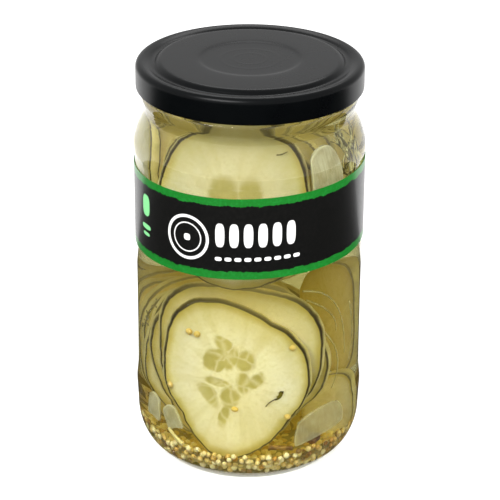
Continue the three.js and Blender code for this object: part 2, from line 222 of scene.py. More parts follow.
class Finish:
    """A material under construction. node() adds any shader node and returns its output."""

    def __init__(self, name, **shader):
        self.material = bpy.data.materials.new(name)
        self.material.use_nodes = True
        self.tree = self.material.node_tree
        self.principled = self.tree.nodes["Principled BSDF"]
        self.surface(**shader)

    def fill(self, made, sockets):
        pairs = sockets.items() if isinstance(sockets, dict) else enumerate(sockets)
        for key, value in pairs:
            if isinstance(value, Field):
                self.tree.links.new(value.socket, made.inputs[key])
            else:
                made.inputs[key].default_value = value

    def node(self, kind, settings=None, sockets=(), output=0):
        made = self.tree.nodes.new(kind)
        for key, value in (settings or {}).items():
            if key == "stops":
                ramp = made.color_ramp.elements
                while len(ramp) < len(value):
                    ramp.new(0.5)
                for element, (place, color) in zip(ramp, value):
                    element.position = place
                    element.color = color
            else:
                setattr(made, key, value)
        self.fill(made, sockets)
        return Field(self, made.outputs[output])

    def surface(self, **sockets):
        """Sets the main shader's sockets, an underscore in a name standing for a space."""
        self.fill(self.principled, {key.replace("_", " "): value for key, value in sockets.items()})

    def place(self):
        return self.node("ShaderNodeTexCoord", output="Object")

    def coordinate(self, axis, where=None):
        return self.node("ShaderNodeSeparateXYZ", {}, [where or self.place()], output=axis)

    def attribute(self, name):
        return self.node("ShaderNodeAttribute", {"attribute_name": name}, output="Fac")

    def vectors(self, operation, *values, output=0):
        return self.node("ShaderNodeVectorMath", {"operation": operation}, values, output)

    def noise(self, scale, detail, where=None):
        sockets = {"Vector": where or self.place(), "Scale": scale, "Detail": detail}
        return self.node("ShaderNodeTexNoise", {}, sockets)

    def out_from_axis(self):
        """How far from the jar's axis a place is, in metres."""
        flat = self.vectors("MULTIPLY", self.place(), (1, 1, 0))
        return self.vectors("LENGTH", flat, output="Value")

    def blend(self, factor, low, high):
        return self.node("ShaderNodeMix", {"data_type": "RGBA"}, {0: factor, 6: low, 7: high}, output=2)

    def bump(self, height, distance, strength):
        """Fine relief, its depth in millimetres."""
        sockets = {"Height": height, "Distance": distance * MM, "Strength": strength}
        self.surface(Normal=self.node("ShaderNodeBump", {}, sockets))

    def soft(self, weight, colours, depth):
        """Light sinks in to a depth in millimetres, further in some colours than in others."""
        self.surface(Subsurface_Weight=weight, Subsurface_Radius=colours, Subsurface_Scale=depth * MM)

    def end_at(self, socket, field):
        self.tree.links.new(field.socket, self.tree.nodes["Material Output"].inputs[socket])

    def clear_where(self, share, tint):
        """Mixes plain see-through into the surface, by a share from 0 to 1."""
        clear = self.node("ShaderNodeBsdfTransparent", {}, {"Color": tint})
        mix = self.node("ShaderNodeMixShader", {}, [share, Field(self, self.principled.outputs[0]), clear])
        self.end_at("Surface", mix)

    def lets_lamps_through(self, tint):
        """Rays towards a lamp pass the clear wall, so that what is inside is lit."""
        self.clear_where(self.node("ShaderNodeLightPath", output="Is Shadow Ray"), tint)

    def on(self, piece):
        piece.data.materials.clear()
        piece.data.materials.append(self.material)


def paint(red, green, blue):
    """A colour given as it looks on a screen, 0 to 255, as a shader takes it."""
    shares = [c / 255 for c in (red, green, blue)]
    return tuple(c / 12.92 if c < 0.04045 else ((c + 0.055) / 1.055) ** 2.4 for c in shares) + (1.0,)


def hand_over(piece, slot, *nodes):
    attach(piece, "root")
    if nodes:
        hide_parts(*nodes)


def make_jar():
    heel = heel_arc(0)
    base = [(0, PUSH_UP), (20, PUSH_UP - 0.6), (BASE_RING_INNER - 1.2, 0.8), (BASE_RING_INNER, 0)]
    body = [
        (HEEL_BEAD_RADIUS - 0.15, HEEL_BEAD_HEIGHT - 3),
        (HEEL_BEAD_RADIUS, HEEL_BEAD_HEIGHT - 1),
        (HEEL_BEAD_RADIUS, HEEL_BEAD_HEIGHT + 1),
        (HEEL_BEAD_RADIUS - 0.25, HEEL_BEAD_HEIGHT + 3),
        (BODY_RADIUS, PANEL_BOTTOM),
        (BODY_RADIUS, PANEL_TOP),
        (SHOULDER_RADIUS, PANEL_TOP + 1),
        (SHOULDER_RADIUS, SHOULDER_TOP - 1),
        (SHOULDER_RADIUS - 0.7, SHOULDER_TOP + 1.6),
        (SHOULDER_RADIUS - 1.7, SHOULDER_TOP + 4.6),
        (SHOULDER_RADIUS - 3.2, SHOULDER_TOP + 7.8),
        (NECK_RADIUS + 0.3, NECK_HEIGHT - 1.4),
        (NECK_RADIUS, NECK_HEIGHT),
        (NECK_RADIUS + 0.4, COLLAR_BOTTOM - 2),
        (COLLAR_RADIUS, COLLAR_BOTTOM),
        (COLLAR_RADIUS, COLLAR_TOP - 0.5),
        (COLLAR_RADIUS - 0.6, COLLAR_TOP),
        (FINISH_RADIUS, COLLAR_TOP + 0.6),
        (FINISH_RADIUS, RIM_HEIGHT - 1.2),
        (FINISH_RADIUS - 0.7, RIM_HEIGHT),
        (BORE_RADIUS + 0.6, RIM_HEIGHT),
        (BORE_RADIUS, RIM_HEIGHT - 0.8),
    ]
    inside = inner_line()[::-1]
    jar = spun("glass_jar_clear", softened(base) + heel[1:-1] + softened([heel[-1]] + body + inside, 3))
    smooth(jar, 60)
    return jar


def glass_finish(name, gleam):
    """Clear glass. Its gleam, from 0 to 1, is how much a plain look at it reflects."""
    glass = Finish(name, Transmission_Weight=1.0, Roughness=0.0, IOR=1.5)
    glass.surface(Base_Color=GLASS_TINT, Specular_Tint=(gleam, gleam, gleam, 1))
    wave = glass.noise(28, 2)
    fine = glass.noise(140, 1)
    seam = abs(glass.coordinate("Y")).fade(0.5 * MM, 0.1 * MM)
    relief = wave * 0.5 + fine * 0.06 + seam * 0.1
    for at, half_width in MOULD_LINES:
        relief = relief + abs(glass.coordinate("Z") - at * MM).fade(half_width * MM, 0) * 0.12
    glass.bump(relief, 0.4, 0.5)
    glass.lets_lamps_through((0.93, 0.95, 0.93, 1))
    return glass


def wet_inside(jar, level):
    """The inner wall below the brine gets the second finish, because wet glass hardly gleams."""
    for face in jar.data.polygons:
        x, y, z = face.center / MM
        out = math.hypot(x, y)
        bottom = PUSH_UP + WALL / 2 if out < FLOOR_RADIUS else 0
        if bottom < z < level and out < wall_radius(z, -WALL / 2):
            face.material_index = 1


jar = make_jar()
glass_finish("clear_glass", 1).on(jar)
jar.data.materials.append(glass_finish("wet_glass", 0).material)
wet_inside(jar, BRINE_LEVEL)
hand_over(jar, "clear_glass", "glass_jar")

# Brine
# Clear vinegar brine, tinted yellow-olive by the pickles. It fills the jar to the neck, wets the
# wall all over, so its skin lies just inside the glass, and climbs it a little at the top.

WETTING = 0.25
BRINE_TINT = (0.60, 0.54, 0.12, 1)
BRINE_STRENGTH = 33


def make_brine():
    wall = inner_line(-WETTING)
    bore = BORE_RADIUS + WETTING
    side = softened(wall)[:-1] + [(bore, NECK_HEIGHT + 2.4), (bore, BRINE_LEVEL + 1)]
    top = [(bore - 0.5, BRINE_LEVEL + 0.5), (bore - 1.6, BRINE_LEVEL + 0.1), (0, BRINE_LEVEL)]
    brine = spun("brine", side + top)
    smooth(brine, 60)
    return brine


def brine_finish():
    brine = Finish("brine", Transmission_Weight=1.0, Roughness=0.0, IOR=1.34, Specular_Tint=(0, 0, 0, 1))
    depth = brine.node("ShaderNodeVolumeAbsorption", {}, {"Color": BRINE_TINT, "Density": BRINE_STRENGTH})
    brine.end_at("Volume", depth)
    brine.lets_lamps_through((0.97, 0.96, 0.9, 1))
    return brine


brine = make_brine()
brine_finish().on(brine)
hand_over(brine, "brine")

# Cucumber slices
# Slices of a gherkin about 58 mm across and 4.5 mm thick, stood on edge in two rows, with one more
# by the wall on each side and a small one sunk onto the seeds. Each has a thin olive rind, pale
# flesh, and seed chambers of clear jelly in its middle.

SLICE_THICKNESS = 4.5
SLICE_RADIUS = 28
SLICE_AROUND = 108
SLICE_RINGS = [0.7, 0.9, 1.2, 1.6, 1.9] + [2.2] * 8
SLICE_ROUNDING = 0.8
SLICE_SWELL = 0.12
SLICE_WARP = 0.35
# Unevenness of a slice's edge: how closely it comes, its own seed, its share of the radius.
EDGE_BUMPS = [(2.2, 0, 0.012), (5.5, 40, 0.016), (12, 60, 0.009)]
CHAMBER_SINK = 0.25
CLEARANCE = 0.4
FRONT = -27
PITCH = 5.4
LOWER_TURN = -5
UPPER_TURN = -6
FRONT_TURN = -8.5
# Both rows from front to back: where each slice's middle is, and its radius.
LOWER_X = [-4.3, -3, -3, -9.4, -8.8, -9.4, -8.6, -9.2, -9, -9.4, -7.6]
LOWER_Z = [42.4, 52.4, 45.2, 44.2, 42.8, 43.6, 43.1, 44.3, 42.5, 43.6, 42.8]
LOWER_RADIUS = [28.5, 29.2, 31.4, 28.6, 28.6, 28.6, 28.6, 28, 27.4, 26.4, 24.6]
UPPER_X = [-4.9, 3, -2.2, 3.4, -7.4, 5.1, -4.2, 3.2, -6, 1.8, -2.6]
UPPER_Z = [112.4, 108.4, 112.6, 111.2, 112.4, 110.9, 112.2, 111, 112.6, 111.4, 112]
UPPER_RADIUS = [30.2, 24.4, 29.6, 29.6, 29.6, 29.6, 29.6, 29.6, 29.6, 28.6, 28.6]
ROW_SLICES = len(LOWER_X) + len(UPPER_X)
GREEN_SLICES = 5
# Slices by the wall and on the seeds: place, turn, radius.
SIDE_SLICES = [((23, 13.5, 52), -50, 20), ((-32.6, 2, 113), 96, 22), ((25, 1, 18.5), -14, 12)]
# Waves of a slice's edge: how many go round, their share of the radius, where one is highest.
LOWER_FRONT_WAVES = [
    [(1, 0.057, 120), (2, 0.11, -157), (3, 0.069, 41), (4, 0.037, 33), (5, 0.028, -132)],
    [(2, 0.03, -30), (3, 0.028, 17), (4, 0.042, 170)],
    [(2, 0.061, 154), (3, 0.027, 101), (4, 0.057, -51), (5, 0.015, -1)],
]
UPPER_FRONT_WAVES = [
    [(2, 0.07, 180), (3, 0.03, -122), (5, 0.02, -104)],
    [(1, 0.05, -65), (2, 0.1, 150), (3, 0.03, 20), (4, 0.02, 60)],
]
# Seed chambers on a slice of radius 1: across, up, long half, short half, turn.
SMALL_CHAMBERS = [
    (-0.127, 0.464, 0.09, 0.07, 112),
    (-0.268, 0.262, 0.14, 0.08, 53),
    (-0.165, 0.19, 0.12, 0.06, 15),
    (-0.15, 0.318, 0.09, 0.075, 40),
    (-0.03, 0.293, 0.16, 0.06, 82),
    (0.135, 0.308, 0.165, 0.115, 76),
    (0.115, -0.02, 0.165, 0.09, 93),
    (0.27, 0.01, 0.145, 0.085, 62),
    (-0.23, -0.03, 0.14, 0.07, 168),
    (-0.36, -0.235, 0.19, 0.1, -54),
    (-0.07, -0.21, 0.14, 0.11, 84),
    (-0.113, -0.46, 0.14, 0.06, -101),
]
LARGE_CHAMBERS = [(-0.11, 0.19, 0.175, 0.165, 0), (0.19, 0.17, 0.145, 0.16, 0)]
for turn in (178, 222, 298, 342):
    at = math.radians(turn)
    LARGE_CHAMBERS.append((0.34 * math.cos(at), 0.34 * math.sin(at), 0.19, 0.11, turn))
LARGE_SHIFT = 4
NO_CELLS = -3
# Colour of the painted glow on slices that lie deep in the jar.
SLICE_MURK = (0.28, 0.235, 0.085, 1)


def spread_of(seed):
    """The same run of numbers from 0 to 1 each time."""
    state = seed
    while True:
        state = (state * 1664525 + 1013904223) % 4294967296
        yield state / 4294967296


def plan_slices():
    """Where each slice stands, its turn, its size and the waves of its edge."""
    draw = spread_of(11)

    def common_waves():
        return [
            (2, 0.09 + 0.04 * next(draw), 180 + 30 * (next(draw) - 0.5)),
            (3, 0.01 + 0.03 * next(draw), 360 * next(draw)),
            (4, 0.01 + 0.02 * next(draw), 360 * next(draw)),
            (5, 0.005 + 0.015 * next(draw), 360 * next(draw)),
        ]

    def add(at, yaw, radius, waves):
        plan.append({"at": at, "yaw": yaw, "radius": radius, "waves": waves})

    plan = []
    for i, (low_x, low_z, low_radius) in enumerate(zip(LOWER_X, LOWER_Z, LOWER_RADIUS)):
        y = FRONT + PITCH * i
        low_yaw = LOWER_TURN + 3 * (next(draw) - 0.5)
        high_yaw = UPPER_TURN + 3 * (next(draw) - 0.5) if i else FRONT_TURN
        low_waves = LOWER_FRONT_WAVES[i] if i < len(LOWER_FRONT_WAVES) else common_waves()
        high_waves = UPPER_FRONT_WAVES[i] if i < len(UPPER_FRONT_WAVES) else common_waves()
        add((low_x, y, low_z), low_yaw, low_radius, low_waves)
        add((UPPER_X[i], y, UPPER_Z[i]), high_yaw, UPPER_RADIUS[i], high_waves)
    side_waves = [(2, 0.2, 180)] + common_waves()[1:]
    for at, yaw, radius in SIDE_SLICES:
        add(at, yaw, radius, side_waves)
    for number, piece in enumerate(plan):
        piece["turn"] = 0 if number < 2 else 360 * next(draw)
        piece["large"] = number % 3 == 1 and number < ROW_SLICES
    return plan


def edge_radius(slice_plan, angle):
    waves = [share * math.cos(count * angle - math.radians(at)) for count, share, at in slice_plan["waves"]]
    return slice_plan["radius"] * (1 + sum(waves))


def held_inside(point, gap=CLEARANCE):
    """The point, in millimetres, pushed in to where the glass leaves room for it."""
    x, y, z = point
    reach = wall_radius(z, gap)
    out = math.hypot(x, y)
    if out > reach:
        x, y = x * reach / out, y * reach / out
    return Vector((x, y, z))


def chamber_depth(u, w, chambers):
    """How deep the jelly of the seed chambers has sunk, 0 to 1, at a place on a slice's face."""
    depth = 0
    for across, up, long, short, turn in chambers:
        spot = Matrix.Rotation(math.radians(-turn), 2) @ Vector((u - across, w - up))
        far = math.hypot(spot.x / long, spot.y / short)
        depth = max(depth, min(1, max(0, (1.2 - far) / 0.6)))
    return depth


def model_slice():
    """One round slice lying flat at real size, in rings of faces, with its rim rounded off."""
    clear_selection()
    size = SLICE_RADIUS * MM
    bpy.ops.mesh.primitive_circle_add(vertices=SLICE_AROUND, radius=size, fill_type="NGON")
    piece = bpy.context.object
    bpy.ops.object.mode_set(mode="EDIT")
    bpy.ops.mesh.select_all(action="SELECT")
    for step in SLICE_RINGS:
        bpy.ops.mesh.inset(thickness=step * MM)
    bpy.ops.mesh.poke()
    bpy.ops.mesh.select_all(action="SELECT")
    bpy.ops.mesh.extrude_region_move(TRANSFORM_OT_translate={"value": (0, 0, SLICE_THICKNESS * MM)})
    bpy.ops.mesh.select_mode(type="EDGE")
    bpy.ops.mesh.select_all(action="DESELECT")
    bpy.ops.object.mode_set(mode="OBJECT")
    for edge in piece.data.edges:
        ends = [piece.data.vertices[v].co for v in edge.vertices]
        flat = abs(ends[0].z - ends[1].z) < 1e-6
        edge.select = flat and all(math.hypot(p.x, p.y) > size * 0.999 for p in ends)
    bpy.ops.object.mode_set(mode="EDIT")
    bpy.ops.mesh.bevel(offset=SLICE_ROUNDING * MM, segments=3)
    bpy.ops.mesh.select_mode(type="VERT")
    leave_editing()
    return piece


def copy_of(pattern):
    piece = pattern.copy()
    piece.data = pattern.data.copy()
    bpy.context.scene.collection.objects.link(piece)
    return piece


def mark(piece, name, values):
    """Gives each vertex a number that the finish reads."""
    piece.data.attributes.new(name, "FLOAT", "POINT").data.foreach_set("value", values)


def uneven(angle, closeness, seed):
    """A number from -1 to 1 that wanders on the way round a slice."""
    return noise.noise(Vector((closeness * math.cos(angle), closeness * math.sin(angle), seed)))


def shape_slice(pattern, slice_plan, number):
    """A copy of the pattern with its own edge, sunk chambers and slight warp, stood in its place."""
    piece = copy_of(pattern)
    yaw = math.radians(slice_plan["yaw"])
    turn = math.radians(slice_plan["turn"])
    chambers = LARGE_CHAMBERS if slice_plan["large"] else SMALL_CHAMBERS
    shares = []
    greens = []
    for vertex in piece.data.vertices:
        x, y, z = vertex.co / MM
        angle = math.atan2(y, x)
        share = math.hypot(x, y) / SLICE_RADIUS
        face = z / SLICE_THICKNESS * 2 - 1
        shares.append((share * math.cos(angle - turn), share * math.sin(angle - turn)))
        # The rind's dark share: dark skin that wanders at random round the slice, with painted shade making
        # it darker towards the top of every slice. The first GREEN_SLICES slices get the full share and the
        # back faces less.
        green = 0.5 + 0.62 * math.sin(angle) + 0.35 * uneven(angle, 1.6, number + 80)
        green *= 1 if number < GREEN_SLICES else 0.45
        greens.append(green * (1 if face > -0.4 else 0.3))
        bumps = sum(size * uneven(angle, closeness, number + seed) for closeness, seed, size in EDGE_BUMPS)
        out = share * edge_radius(slice_plan, angle) * (1 + bumps)
        along, up = out * math.cos(angle), out * math.sin(angle)
        sunk = CHAMBER_SINK * chamber_depth(*shares[-1], chambers) * face if abs(face) > 0.9 else 0
        warp = SLICE_WARP * math.sin(along / 17 + number) * math.cos(up / 19 + 2 * number)
        through = face * SLICE_THICKNESS / 2 - sunk + SLICE_SWELL * face * (1 - share * share) + warp
        right = along * math.cos(yaw) + through * math.sin(yaw)
        back = along * math.sin(yaw) - through * math.cos(yaw)
        vertex.co = held_inside(Vector(slice_plan["at"]) + Vector((right, back, up))) * MM
    pattern_map = piece.data.uv_layers.new(name="slice")
    shift = Vector((LARGE_SHIFT if slice_plan["large"] else 0, 0))
    for loop in piece.data.loops:
        pattern_map.data[loop.index].uv = Vector(shares[loop.vertex_index]) + shift
    tone = random.Random(number).random() if number < ROW_SLICES else NO_CELLS
    mark(piece, "tone", [tone] * len(shares))
    mark(piece, "green", greens)
    return piece


def join(pieces, name):
    clear_selection()
    for piece in pieces:
        piece.select_set(True)
    bpy.context.view_layer.objects.active = pieces[0]
    bpy.ops.object.join()
    whole = bpy.context.object
    whole.name = name
    return whole


def make_slices(plan):
    pattern = model_slice()
    cut_slices = [shape_slice(pattern, one, number) for number, one in enumerate(plan)]
    whole = join(cut_slices, "cucumber_slices_cut")
    bpy.data.objects.remove(pattern)
    smooth(whole, 50)
    return whole


def chamber_jelly(flesh, place, large):
    """Where the jelly of the seed chambers shows, 0 to 1, with paler veins between its cells."""
    drift = {"Vector": flesh.place(), "Scale": 130, "Detail": 2}
    drift = flesh.node("ShaderNodeTexNoise", {}, drift, output="Color")
    drift = flesh.vectors("MULTIPLY", flesh.vectors("SUBTRACT", drift, (0.5, 0.5, 0.5)), (0.1, 0.1, 0))
    spot = flesh.vectors("ADD", place, drift)
    jelly = None
    shifted = [(a + LARGE_SHIFT, *rest) for a, *rest in LARGE_CHAMBERS]
    for across, up, long, short, turn in SMALL_CHAMBERS + shifted:
        sockets = {"Vector": spot, "Location": (across, up, 0), "Rotation": (0, 0, math.radians(turn)),
                   "Scale": (long, short, 1)}
        local = flesh.node("ShaderNodeMapping", {"vector_type": "TEXTURE"}, sockets)
        inside = flesh.vectors("LENGTH", local, output="Value").fade(1.3, 0.75)
        jelly = inside if jelly is None else jelly.either(inside)
    cells = {"feature": "DISTANCE_TO_EDGE"}
    vein = flesh.node("ShaderNodeTexVoronoi", cells, {"Vector": spot, "Scale": 5}, output="Distance")
    return jelly * (1 - vein.fade(0.15, 0) * (1 - large) * 0.42)


def cloudy(finish, deep, murk):
    """What lies deep gets a dim painted glow, standing in for light scattered in the brine before it, as if
    that brine were slightly milky.
    """
    finish.surface(Emission_Color=finish.blend(deep, (0, 0, 0, 1), murk), Emission_Strength=1.0)


def cucumber_finish():
    flesh = Finish("cucumber", Specular_IOR_Level=0.35)
    place = flesh.node("ShaderNodeUVMap", {"uv_map": "slice"})
    u = flesh.coordinate("X", place)
    w = flesh.coordinate("Y", place)
    large = u.maths("GREATER_THAN", u, LARGE_SHIFT / 2)
    u = u - large * LARGE_SHIFT
    out = (u * u + w * w) ** 0.5
    jelly = chamber_jelly(flesh, place, large)
    stray = flesh.noise(160, 3)
    broad = flesh.noise(55, 2)
    fine = flesh.noise(900, 3)
    heading = [u / (out + 0.05) * 6, w / (out + 0.05) * 6, out * 1.6]
    fibre = flesh.noise(1, 3, flesh.node("ShaderNodeCombineXYZ", {}, heading))

    pale = flesh.blend(broad.fade(0.35, 0.65), paint(246, 242, 226), paint(237, 231, 208))
    pale = flesh.blend(fibre.fade(0.42, 0.66) * out.fade(0.2, 0.55) * 0.45, pale, paint(222, 215, 176))
    pale = flesh.blend(fine.fade(0.45, 0.75) * 0.45, pale, paint(216, 209, 170))
    wet = flesh.blend(stray.fade(0.3, 0.7), paint(176, 165, 84), paint(196, 185, 112))
    pale = flesh.blend(jelly * (0.72 + flesh.attribute("tone") * 0.2), pale, wet)
    ring = out + (stray - 0.5) * 0.06 + (fibre - 0.5) * 0.05
    # The attribute green is the rind's dark share: partly the dark skin's own colour, partly painted shade
    # that darkens the top of every slice, against a pale rind elsewhere.
    green = flesh.attribute("green")
    pale = flesh.blend((ring + green * 0.1).fade(0.66, 1.0) * 0.5, pale, paint(206, 194, 104))
    pale = flesh.blend(ring.fade(0.84, 0.975) * 0.8, pale, paint(184, 164, 54))
    # Painted shade: the flesh is darkened towards the top of the jar, standing in for the shadow under the
    # lid.
    high = flesh.coordinate("Z").fade(112 * MM, 144 * MM)
    pale = flesh.blend(high * 0.62, pale, paint(150, 141, 92))

    green = (green + (stray - 0.5) * 0.7).fade(0.25, 0.95)
    faded = flesh.blend(stray, paint(212, 201, 146), paint(180, 168, 100))
    rind = out.fade(0.967, 0.982)
    # A thin dark line on the rounded rim: partly the skin's own colour, partly painted shade where the rim
    # turns away.
    cut_edge = rind * out.fade(0.9995, 0.996)
    colour = flesh.blend(rind, pale, flesh.blend(green, faded, paint(64, 54, 10)))
    flesh.surface(Base_Color=flesh.blend(cut_edge * 0.95, colour, paint(46, 34, 6)))

    # Painted glow: slices far from the front wall or behind the middle, and the pale parts of the rind,
    # glow dimly. It stands in for light scattered in the brine and light shining through the translucent
    # flesh.
    y = flesh.coordinate("Y")
    axis = flesh.out_from_axis()
    behind = y.fade(-12 * MM, 12 * MM) * axis.fade(41 * MM, 31 * MM)
    deep = axis.fade(37 * MM, 22 * MM).either(behind)
    cloudy(flesh, deep.either(rind * (1 - green) * (1 - cut_edge) * 0.5), SLICE_MURK)
    flesh.surface(Roughness=0.3 + fine * 0.2)
    flesh.soft(0.6, (1.0, 0.9, 0.55), 4)
    flesh.bump(fine * 0.25 + stray * 0.5 - jelly * 0.3, 0.35, 0.6)
    return flesh


slice_plan = plan_slices()
slices = make_slices(slice_plan)
cucumber_finish().on(slices)
hand_over(slices, "cucumber", "cucumber_slices")

# Mustard seeds
# Yellow mustard seeds of about 2.2 mm have sunk to the floor and lie deepest along the wall, in a
# bed of spice dust and seed skins. A few have stuck to the face of the front slice.

SEED_RADIUS = 1.12
SEED_DRAWS = 24000
SEED_REACH = 39.5
SEED_CELL = 2.6
SEED_NEAREST = 0.96
# Colour of the painted glow on seeds that lie deep in the jar.
SEED_MURK = (0.2, 0.16, 0.03, 1)
STUCK_SIZE = 1.15
STUCK_TONE = 0.62
BED_TONE = 1.5
BED_LIMIT = 16
BROWN_FROM = 15
FACE_SEEDS = [(-20.5, 62), (-17.6, 61.2), (-28.2, 38.4), (-4.6, 30.6), (15.3, 57.2), (13.8, 27.6)]
FLOOR = PUSH_UP + WALL
BED_TOP = [(0, 7.6), (18, 7.9), (28, 9.2), (33.6, 11.4), (36.6, 13.6), (40, 15.4)]
BED_UNDER = [(0, FLOOR + 1.6), (25, FLOOR + 1.6), (29, FLOOR + 1.6), (32.4, 9), (34.6, 11.4)]
BED_OVER = [(34, 12), (31.4, 9.8), (27, 7.4), (18, 6.9), (0, 6.7)]


def bed_top(out, turn):
    """The height of the seed bed at a distance from the axis, a little uneven round the jar."""
    for (r0, z0), (r1, z1) in zip(BED_TOP, BED_TOP[1:]):
        if out <= r1:
            return z0 + (z1 - z0) * (out - r0) / (r1 - r0) + 1.6 * uneven(turn, 2.5, out / 9)
    return BED_TOP[-1][1]


def slice_in_the_way(point, plan, margin):
    for one in plan:
        yaw = math.radians(one["yaw"])
        dx, dy, up = point - Vector(one["at"])
        along = dx * math.cos(yaw) + dy * math.sin(yaw)
        through = dy * math.cos(yaw) - dx * math.sin(yaw)
        if abs(through) < SLICE_THICKNESS / 2 + margin:
            if math.hypot(along, up) < edge_radius(one, math.atan2(up, along)) + margin:
                return True
    return False


def lay_seeds(plan):
    """Seeds dropped one by one where none lies yet, in the room between bed, wall and slices."""
    draw = random.Random(5)
    taken = {}
    laid = []
    low_plan = [one for one in plan if one["at"][2] < 80]
    for _ in range(SEED_DRAWS):
        out = SEED_REACH * math.sqrt(draw.random())
        turn = 2 * math.pi * draw.random()
        size = SEED_RADIUS * draw.uniform(0.86, 1.1)
        z = draw.uniform(FLOOR, BED_LIMIT)
        if z > bed_top(out, turn) or z < FLOOR + 0.6 + size:
            continue
        if out > wall_radius(z - size * 0.6, 0.25) - size:
            continue
        spot = Vector((out * math.cos(turn), out * math.sin(turn), z))
        here = tuple(int(c // SEED_CELL) for c in spot)
        around = [taken.get((here[0] + i, here[1] + j, here[2] + k), ())
                  for i in (-1, 0, 1) for j in (-1, 0, 1) for k in (-1, 0, 1)]
        if any((spot - other).length < SEED_NEAREST * (size + r) for group in around for other, r in group):
            continue
        if slice_in_the_way(spot, low_plan, size):
            continue
        taken.setdefault(here, []).append((spot, size))
        laid.append((spot, size))
    face = plan[0]
    lean = math.radians(face["yaw"])
    front = face["at"][1] - SLICE_THICKNESS / 2 / math.cos(lean) - 0.3
    for x, z in FACE_SEEDS:
        y = front + (x - face["at"][0]) * math.tan(lean)
        laid.append((Vector((x, y, z)), STUCK_SIZE * SEED_RADIUS))
    return laid


def make_seeds(plan):
    clear_selection()
    bpy.ops.mesh.primitive_ico_sphere_add(subdivisions=2, radius=MM)
    pattern = bpy.context.object
    draw = random.Random(8)
    seeds = []
    for spot, size in lay_seeds(plan):
        seed = copy_of(pattern)
        turn = Matrix.Rotation(2 * math.pi * draw.random(), 4, Vector((draw.random(), draw.random(), 0.3)))
        stretch = Matrix.Diagonal((1, draw.uniform(0.9, 1), draw.uniform(0.84, 1), 1))
        seed.data.transform(Matrix.Translation(spot * MM) @ turn @ stretch @ Matrix.Scale(size, 4))
        # Seeds right of BROWN_FROM draw browner tones.
        browning = 0.5 if spot.x > BROWN_FROM else 1.3
        tone = draw.random() ** browning if spot.z < BED_LIMIT else STUCK_TONE
        mark(seed, "tone", [tone] * len(seed.data.vertices))
        seeds.append(seed)
    bpy.data.objects.remove(pattern)
    bed = spun("seed_bed", BED_UNDER + BED_OVER, 64)
    mark(bed, "tone", [BED_TONE] * len(bed.data.vertices))
    whole = join([bed] + seeds, "mustard_seeds_loose")
    smooth(whole, 60)
    return whole


def seed_finish():
    seed = Finish("mustard_seed", Roughness=0.4)
    stops = [(0.0, paint(242, 229, 176)), (0.4, paint(234, 214, 148)), (0.65, paint(216, 186, 104)),
             (0.86, paint(190, 142, 56)), (0.93, paint(120, 80, 26)), (1.0, paint(128, 108, 44))]
    hue = seed.node("ShaderNodeValToRGB", {"stops": stops}, [seed.attribute("tone")])
    speck = seed.noise(1500, 2)
    # Painted glow on seeds deep in the jar and behind its middle, standing in for light scattered in the
    # brine.
    behind = seed.coordinate("Y").fade(-20 * MM, 15 * MM) * 0.7
    cloudy(seed, seed.out_from_axis().fade(37 * MM, 29 * MM).either(behind), SEED_MURK)
    seed.surface(Base_Color=seed.blend(speck.fade(0.5, 0.75) * 0.3, hue, paint(160, 112, 48)))
    seed.surface(Roughness=0.28 + speck * 0.25)
    seed.soft(0.15, (1.0, 0.6, 0.25), 1)
    seed.bump(speck, 0.08, 0.5)
    return seed


seeds = make_seeds(slice_plan)
seed_finish().on(seeds)
hand_over(seeds, "seed", "mustard_seeds")

# Onion
# Pieces of a sliced onion's layers, three low down between the slices and the wall and one high up.
# Each is a thin bent plate with a wavy edge, soft and glassy from the brine, with fine veins.

ONIONS = {
    "onion_left_upper": dict(azimuth=-62, height=24.4, wide=7.5, tall=9.5, bend=22, lean=4, inward=1.2),
    "onion_left_lower": dict(azimuth=-47, height=23.4, wide=7.5, tall=8.6, bend=20, lean=-28, inward=2.2),
    "onion_right": dict(azimuth=43, height=22.8, wide=23, tall=11, bend=33, lean=-8, inward=1.4),
    "onion_top": dict(azimuth=44, height=124.8, wide=13.5, tall=18, bend=34, lean=-10, inward=1.4, tilt=5),
}
ONION_THICKNESS = 1.3


def make_onion(name, azimuth, height, wide, tall, bend, lean, inward, tilt=0):
    clear_selection()
    bpy.ops.mesh.primitive_grid_add(x_subdivisions=36, y_subdivisions=24, size=1)
    piece = bpy.context.object
    piece.name = name + "_layer"
    for vertex in piece.data.vertices:
        s, t = vertex.co.x, vertex.co.y
        edge = 1 + 0.12 * math.sin(5 * s + 3 * t) - 0.5 * abs(2 * s * t) ** 2
        turn = s * wide * edge / bend
        r = bend + 0.16 * noise.noise(Vector((5 * s, 5 * t, height)))
        vertex.co = Vector((r * math.sin(turn), bend - r * math.cos(turn), t * tall * edge)) * MM
    skin = piece.modifiers.new("thickness", "SOLIDIFY")
    skin.thickness = ONION_THICKNESS * MM
    skin.offset = 0
    rounding = piece.modifiers.new("rounding", "BEVEL")
    rounding.width = 0.35 * MM
    rounding.segments = 2
    rounding.angle_limit = math.radians(50)
    pick(piece)
    for modifier in ("thickness", "rounding"):
        bpy.ops.object.modifier_apply(modifier=modifier)
    out = BODY_RADIUS - WALL - CLEARANCE - ONION_THICKNESS / 2 - inward
    lean_turn = Matrix.Rotation(math.radians(lean), 4, "Y")
    tilt_turn = Matrix.Rotation(math.radians(-tilt), 4, "X")
    stand = Matrix.Translation((0, 0, height * MM)) @ Matrix.Rotation(math.radians(azimuth), 4, "Z")
    piece.data.transform(stand @ Matrix.Translation((0, -out * MM, 0)) @ tilt_turn @ lean_turn)
    bpy.ops.object.mode_set(mode="EDIT")
    leave_editing()
    smooth(piece, 50)
    return piece


